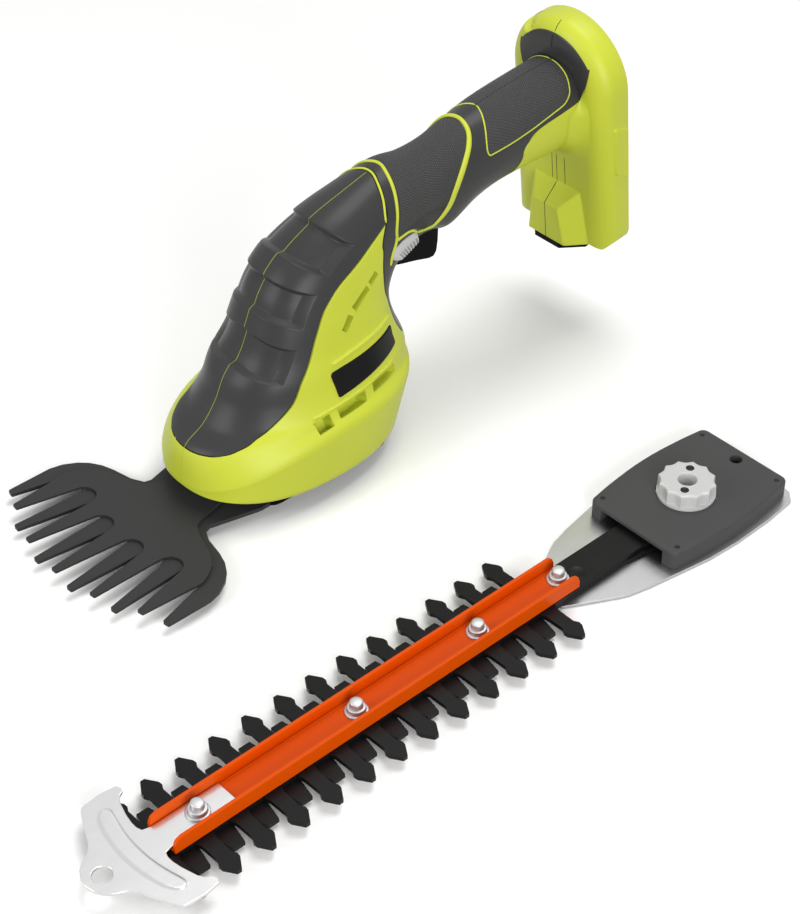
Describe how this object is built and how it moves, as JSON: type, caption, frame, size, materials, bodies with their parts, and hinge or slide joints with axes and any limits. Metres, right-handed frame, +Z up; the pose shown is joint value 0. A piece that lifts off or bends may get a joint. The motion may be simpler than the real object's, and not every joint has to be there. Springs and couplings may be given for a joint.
{
  "type": "cordless grass shears",
  "caption": "Hand-held cordless grass shears with a fan-toothed blade head, bent body and handle, battery foot, and a loose shrub trimming blade lying beside it.",
  "frame": {"origin": "on the ground under the grass blade bolt, in the face of the cutting head's base that the tool stands on", "axes": "+X forward along the tool to the blade tips, +Y to the tool's left, +Z up"},
  "size_m": [0.4114, 0.2387, 0.161],
  "materials": {
    "green_plastic": "satin",
    "soft_skin": "matt",
    "black_plastic": "matt",
    "steel": "brushed",
    "dark_steel": "satin",
    "motor_steel": "zinc",
    "brass": "plain",
    "nylon": "plain",
    "light_grey_plastic": "matt",
    "wire": "plain",
    "orange_rail": "anodised"
  },
  "bodies": {
    "tool": {"left_housing": "green_plastic", "right_housing": "green_plastic", "left_nose_cover": "soft_skin", "right_nose_cover": "soft_skin", "left_grip": "soft_skin", "right_grip": "soft_skin", "foot_pad": "black_plastic", "docking_plate": "black_plastic", "gear_frame": "steel", "upper_gear_plate": "steel", "motor_can": "motor_steel", "trigger_pin": "steel", "main_switch": "black_plastic", "terminal_block": "black_plastic", "terminals": "brass", "battery_leads": "wire", "motor_leads": "wire", "housing_screw_1": "steel", "housing_screw_2": "steel", "housing_screw_3": "steel", "housing_screw_4": "steel", "cassette_base": "black_plastic", "cassette_cover": "black_plastic", "lower_blade": "dark_steel", "pivot_bolt": "steel", "pivot_nut": "steel", "cassette_screw_1": "steel", "cassette_screw_2": "steel"},
    "motor_rotor": {"motor_shaft": "steel", "motor_pinion": "brass"},
    "intermediate": {"intermediate_shaft": "steel", "intermediate_gear": "nylon", "intermediate_pinion": "brass"},
    "output_drive": {"output_shaft": "steel", "output_gear": "dark_steel", "drive_socket": "black_plastic", "drive_knob": "light_grey_plastic"},
    "swing_blade": {"upper_blade": "dark_steel"},
    "trigger": {"trigger": "black_plastic"},
    "lock_off": {"lock_off_button": "light_grey_plastic"},
    "release": {"release_catch": "black_plastic"},
    "hedge": {"hedge_base_plate": "steel", "hedge_cover": "black_plastic", "hedge_comb": "dark_steel", "hedge_rail": "orange_rail", "hedge_tip_guard": "steel", "hedge_bolt_1": "steel", "hedge_bolt_2": "steel", "hedge_bolt_3": "steel", "hedge_bolt_4": "steel", "hedge_cover_screw_1": "steel", "hedge_cover_screw_2": "steel", "hedge_cover_screw_3": "steel", "hedge_cover_screw_4": "steel"},
    "hedge_drive": {"hedge_knob": "light_grey_plastic", "hedge_crank": "steel", "hedge_knob_screws": "steel"},
    "hedge_slider": {"hedge_cutter": "dark_steel"}
  },
  "joints": [
    {"name": "output_spin", "type": "hinge", "parent": "tool", "child": "output_drive", "pos_m": [-0.036, 0, 0.03], "axis": [0, 0, 1], "continuous": true},
    {"name": "intermediate_spin", "type": "hinge", "parent": "tool", "child": "intermediate", "pos_m": [-0.04865, 0.01524, 0.04], "axis": [0, 0, 1], "continuous": true},
    {"name": "motor_spin", "type": "hinge", "parent": "tool", "child": "motor_rotor", "pos_m": [-0.052, 0, 0.06], "axis": [0, 0, 1], "continuous": true},
    {"name": "grass_blade_swing", "type": "hinge", "parent": "tool", "child": "swing_blade", "pos_m": [0, 0, 0.0068], "axis": [0, 0, 1], "range_deg": [-7, 7]},
    {"name": "trigger_pull", "type": "hinge", "parent": "tool", "child": "trigger", "pos_m": [-0.104, 0, 0.1005], "axis": [0, 1, 0], "range_deg": [0, 9], "stiffness_Nm_per_rad": 1.2, "springref_deg": -6.88},
    {"name": "lock_off_push", "type": "slide", "parent": "tool", "child": "lock_off", "axis": [0, -1, 0], "range_m": [-0.003, 0.003], "stiffness_N_per_m": 400},
    {"name": "release_lift", "type": "slide", "parent": "tool", "child": "release", "axis": [0, 0, 1], "range_m": [0, 0.004], "stiffness_N_per_m": 400, "springref_m": -0.002},
    {"name": "hedge_lift", "type": "slide", "parent": "tool", "child": "hedge", "axis": [0, 0, 1], "range_m": [0, 0.08]},
    {"name": "hedge_knob_spin", "type": "hinge", "parent": "hedge", "child": "hedge_drive", "pos_m": [-0.138, 0.1485, 0.012], "axis": [0, 0, 1], "continuous": true},
    {"name": "hedge_cutter_slide", "type": "slide", "parent": "hedge", "child": "hedge_slider", "axis": [1, 0, 0], "range_m": [-0.0044, 0.0044]}
  ],
  "couplings": [
    {"joint": "intermediate_spin", "follows": "output_spin", "ratio": -3.4},
    {"joint": "motor_spin", "follows": "output_spin", "ratio": 12.92}
  ]
}
